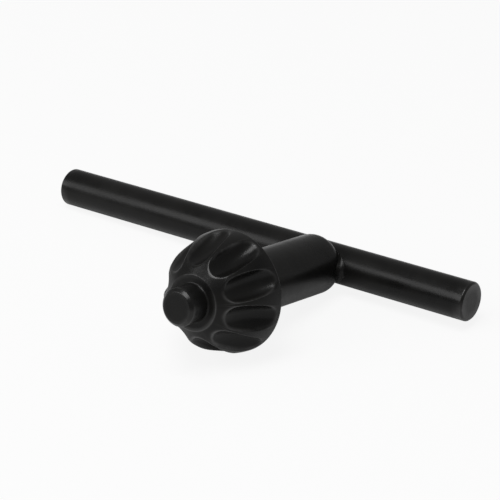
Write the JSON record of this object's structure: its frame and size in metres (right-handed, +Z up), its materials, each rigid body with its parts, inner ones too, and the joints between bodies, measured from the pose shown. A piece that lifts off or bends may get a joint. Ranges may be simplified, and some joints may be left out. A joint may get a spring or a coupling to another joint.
{
  "type": "drill chuck key",
  "caption": "Drill chuck key: a bevel pinion with a pilot pin on a round shank, joined to an off-centre round cross bar.",
  "frame": {"origin": "centre of the bounding box in X and Y, on the ground under the key", "axes": "+Y runs along the cross bar towards its short side, +Z is up, and the pilot points towards +X, tilted up by the pose at rest"},
  "size_m": [0.0434, 0.083, 0.0193],
  "materials": {
    "black_steel": "blackened (black oxide) steel, satin, lightly oiled"
  },
  "bodies": {
    "root": {"key_body": "black_steel", "cross_bar": "black_steel"}
  },
  "joints": []
}
